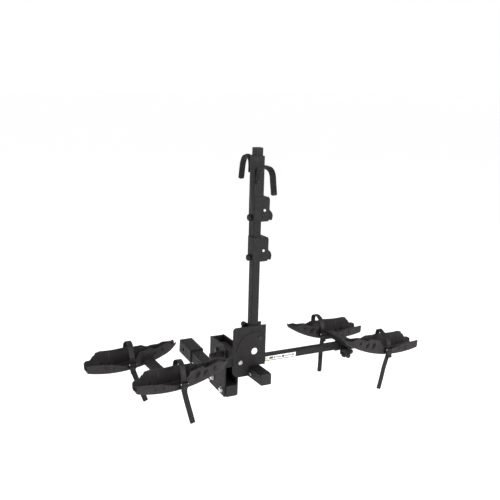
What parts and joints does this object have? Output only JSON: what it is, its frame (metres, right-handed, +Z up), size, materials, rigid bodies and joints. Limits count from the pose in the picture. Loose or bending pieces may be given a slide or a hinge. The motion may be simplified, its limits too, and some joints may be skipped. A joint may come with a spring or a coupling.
{
  "type": "hitch mounted bike rack",
  "caption": "Platform bicycle rack for a hitch receiver, with a tilting frame, a folding mast with sliding hooks, and wheel trays with straps.",
  "frame": {"origin": "centre of the hitch pin hole, on the shank's axis", "axes": "+X along the hitch pin and the bicycles, +Y towards the vehicle, +Z up; the shank rises 5 degrees towards the vehicle"},
  "size_m": [1.315, 0.8414, 1.0447],
  "materials": {
    "black_steel": "textured black powder coat",
    "cap_plastic": "moulded, fine grain",
    "tray_plastic": "moulded charcoal, fine grain",
    "zinc": "bright zinc plated",
    "dark_bolt": "black oxide",
    "nylon": "black nylon",
    "label": "printed label without lettering",
    "rubber": "black rubber",
    "buckle_plastic": "black moulded plastic"
  },
  "bodies": {
    "hitch": {"hitch_shank": "black_steel", "adapter_sleeve": "black_steel", "shank_end_cap": "cap_plastic", "riser_plate_left": "black_steel", "riser_plate_right": "black_steel", "riser_bolts": "zinc", "tilt_pivot_bolt": "dark_bolt", "tilt_bushes": "nylon", "tilt_pin_housing": "black_steel", "riser_web": "black_steel"},
    "tilt_pin": {"tilt_pin": "cap_plastic"},
    "platform": {"spine_tube": "black_steel", "spine_top_pad": "rubber", "front_plate": "black_steel", "rear_plate": "black_steel", "crossbar": "black_steel", "end_caps": "cap_plastic", "label_plate": "label", "frame_bolts": "zinc", "mast_pivot_bolt": "dark_bolt", "mast_pin_housing": "black_steel"},
    "mast_pin": {"mast_pin": "cap_plastic"},
    "mast": {"mast_foot": "black_steel", "mast_tube": "black_steel", "mast_cap": "cap_plastic"},
    "near_carriage": {"near_block": "black_steel", "near_fasteners": "zinc", "near_hook_arm": "rubber", "near_hook_pad": "rubber"},
    "near_lever": {"near_lever": "cap_plastic"},
    "near_knob": {"near_knob": "cap_plastic"},
    "far_carriage": {"far_block": "black_steel", "far_fasteners": "zinc", "far_riser": "black_steel", "far_hook_arm": "rubber", "far_hook_pad": "rubber"},
    "far_lever": {"far_lever": "cap_plastic"},
    "far_knob": {"far_knob": "cap_plastic"},
    "left_arm": {"left_arm_tube": "black_steel", "left_clamp": "black_steel", "left_brackets": "black_steel", "left_near_tray": "tray_plastic", "left_far_tray": "tray_plastic", "left_near_strap": "rubber", "left_far_strap": "rubber", "left_buckles": "buckle_plastic"},
    "left_star_knob": {"left_star_knob": "cap_plastic"},
    "left_near_lever": {"left_near_lever": "buckle_plastic"},
    "left_far_lever": {"left_far_lever": "buckle_plastic"},
    "right_arm": {"right_arm_tube": "black_steel", "right_clamp": "black_steel", "right_brackets": "black_steel", "right_near_tray": "tray_plastic", "right_far_tray": "tray_plastic", "right_near_strap": "rubber", "right_far_strap": "rubber", "right_buckles": "buckle_plastic"},
    "right_star_knob": {"right_star_knob": "cap_plastic"},
    "right_near_lever": {"right_near_lever": "buckle_plastic"},
    "right_far_lever": {"right_far_lever": "buckle_plastic"}
  },
  "joints": [
    {"name": "rack_tilt", "type": "hinge", "parent": "hitch", "child": "platform", "pos_m": [0, -0.357, 0.1175], "axis": [1, 0, 0], "range_deg": [-85, 20]},
    {"name": "tilt_pin_pull", "type": "slide", "parent": "hitch", "child": "tilt_pin", "axis": [-1, 0, 0], "range_m": [0, 0.012], "stiffness_N_per_m": 800, "springref_m": -0.01},
    {"name": "mast_fold", "type": "hinge", "parent": "platform", "child": "mast", "pos_m": [0.021, -0.607, 0.249], "axis": [0, -1, 0], "range_deg": [-90, 0]},
    {"name": "mast_pin_pull", "type": "slide", "parent": "platform", "child": "mast_pin", "axis": [0, 1, 0], "range_m": [0, 0.012], "stiffness_N_per_m": 800, "springref_m": -0.01},
    {"name": "near_hook_slide", "type": "slide", "parent": "mast", "child": "near_carriage", "axis": [0, 0, -1], "range_m": [-0.02, 0.05]},
    {"name": "near_release", "type": "hinge", "parent": "near_carriage", "child": "near_lever", "pos_m": [0.04, -0.607, 0.744], "axis": [0, 1, 0], "range_deg": [0, 12], "stiffness_Nm_per_rad": 1, "springref_deg": -17.19},
    {"name": "near_knob_turn", "type": "hinge", "parent": "near_carriage", "child": "near_knob", "pos_m": [-0.035, -0.607, 0.721], "axis": [1, 0, 0], "continuous": true},
    {"name": "far_hook_slide", "type": "slide", "parent": "mast", "child": "far_carriage", "axis": [0, 0, -1], "range_m": [-0.045, 0.24]},
    {"name": "far_release", "type": "hinge", "parent": "far_carriage", "child": "far_lever", "pos_m": [0.04, -0.607, 0.591], "axis": [0, 1, 0], "range_deg": [0, 12], "stiffness_Nm_per_rad": 1, "springref_deg": -17.19},
    {"name": "far_knob_turn", "type": "hinge", "parent": "far_carriage", "child": "far_knob", "pos_m": [-0.035, -0.607, 0.568], "axis": [1, 0, 0], "continuous": true},
    {"name": "left_arm_slide", "type": "slide", "parent": "platform", "child": "left_arm", "axis": [1, 0, 0], "range_m": [0, 0.1]},
    {"name": "left_star_knob_turn", "type": "hinge", "parent": "left_arm", "child": "left_star_knob", "pos_m": [-0.395, -0.64, 0.141], "axis": [0, 1, 0], "continuous": true},
    {"name": "left_near_buckle_release", "type": "hinge", "parent": "left_arm", "child": "left_near_lever", "pos_m": [-0.357, -0.7794, 0.18006], "axis": [-1, 0, 0], "range_deg": [0, 60], "stiffness_Nm_per_rad": 0.06, "springref_deg": -17.19},
    {"name": "left_far_buckle_release", "type": "hinge", "parent": "left_arm", "child": "left_far_lever", "pos_m": [-0.458, -0.5294, 0.17993], "axis": [-1, 0, 0], "range_deg": [0, 60], "stiffness_Nm_per_rad": 0.06, "springref_deg": -17.19},
    {"name": "right_arm_slide", "type": "slide", "parent": "platform", "child": "right_arm", "axis": [-1, 0, 0], "range_m": [0, 0.1]},
    {"name": "right_star_knob_turn", "type": "hinge", "parent": "right_arm", "child": "right_star_knob", "pos_m": [0.42, -0.64, 0.141], "axis": [0, 1, 0], "continuous": true},
    {"name": "right_near_buckle_release", "type": "hinge", "parent": "right_arm", "child": "right_near_lever", "pos_m": [0.533, -0.7794, 0.17918], "axis": [-1, 0, 0], "range_deg": [0, 60], "stiffness_Nm_per_rad": 0.06, "springref_deg": -17.19},
    {"name": "right_far_buckle_release", "type": "hinge", "parent": "right_arm", "child": "right_far_lever", "pos_m": [0.38, -0.5294, 0.18745], "axis": [-1, 0, 0], "range_deg": [0, 60], "stiffness_Nm_per_rad": 0.06, "springref_deg": -17.19}
  ]
}
